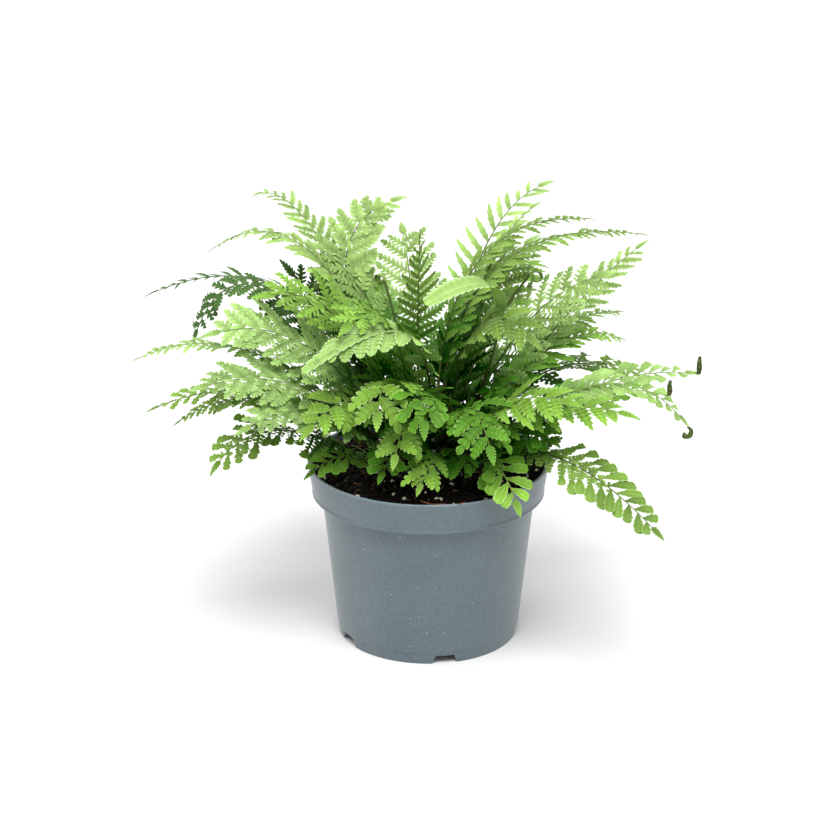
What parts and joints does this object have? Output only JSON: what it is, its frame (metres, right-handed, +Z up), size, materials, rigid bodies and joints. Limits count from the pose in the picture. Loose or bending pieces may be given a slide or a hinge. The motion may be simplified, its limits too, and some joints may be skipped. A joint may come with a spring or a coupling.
{
  "type": "potted fern",
  "caption": "Potted fern: a bushy clump of arching, feather-cut fronds in a round grey plastic nursery pot filled with dark soil.",
  "frame": {"origin": "middle of the pot's underside, on the surface it stands on", "axes": "+Z up along the pot's axis; -Y faces the viewer of the picture, +X to the viewer's right"},
  "size_m": [0.274, 0.2071, 0.2142],
  "materials": {
    "pot_plastic": "matte, finely speckled",
    "soil": "matte, crumbly",
    "stalk": "satin",
    "leaf": "satin",
    "young_leaf": "satin"
  },
  "bodies": {
    "root": {"pot": "pot_plastic", "soil": "soil", "crown": "stalk", "crozier_1": "young_leaf", "crozier_2": "young_leaf", "frond_01": "leaf", "frond_02": "leaf", "frond_03": "leaf", "frond_04": "leaf", "frond_05": "leaf", "frond_06": "leaf", "frond_07": "leaf", "frond_08": "leaf", "frond_09": "leaf", "frond_10": "leaf", "frond_11": "leaf", "frond_12": "leaf", "frond_13": "leaf", "frond_14": "leaf", "frond_15": "leaf", "frond_16": "leaf", "frond_17": "leaf", "frond_18": "leaf", "frond_19": "leaf", "frond_20": "leaf", "frond_21": "leaf", "frond_22": "leaf", "frond_23": "leaf", "frond_24": "leaf", "frond_25": "leaf", "frond_26": "leaf", "frond_27": "leaf", "frond_28": "leaf", "frond_29": "leaf", "frond_30": "leaf", "frond_31": "leaf", "frond_32": "leaf", "frond_33": "leaf", "frond_34": "leaf", "frond_35": "leaf", "frond_36": "leaf", "frond_37": "leaf", "frond_38": "leaf", "frond_39": "leaf", "frond_40": "leaf", "frond_41": "leaf", "frond_42": "leaf", "frond_43": "leaf", "frond_44": "leaf", "frond_45": "leaf", "frond_46": "leaf", "frond_47": "leaf", "frond_48": "leaf", "frond_49": "leaf", "frond_50": "leaf", "frond_51": "leaf", "frond_52": "leaf", "frond_53": "leaf", "frond_54": "leaf", "frond_55": "leaf"}
  },
  "joints": []
}
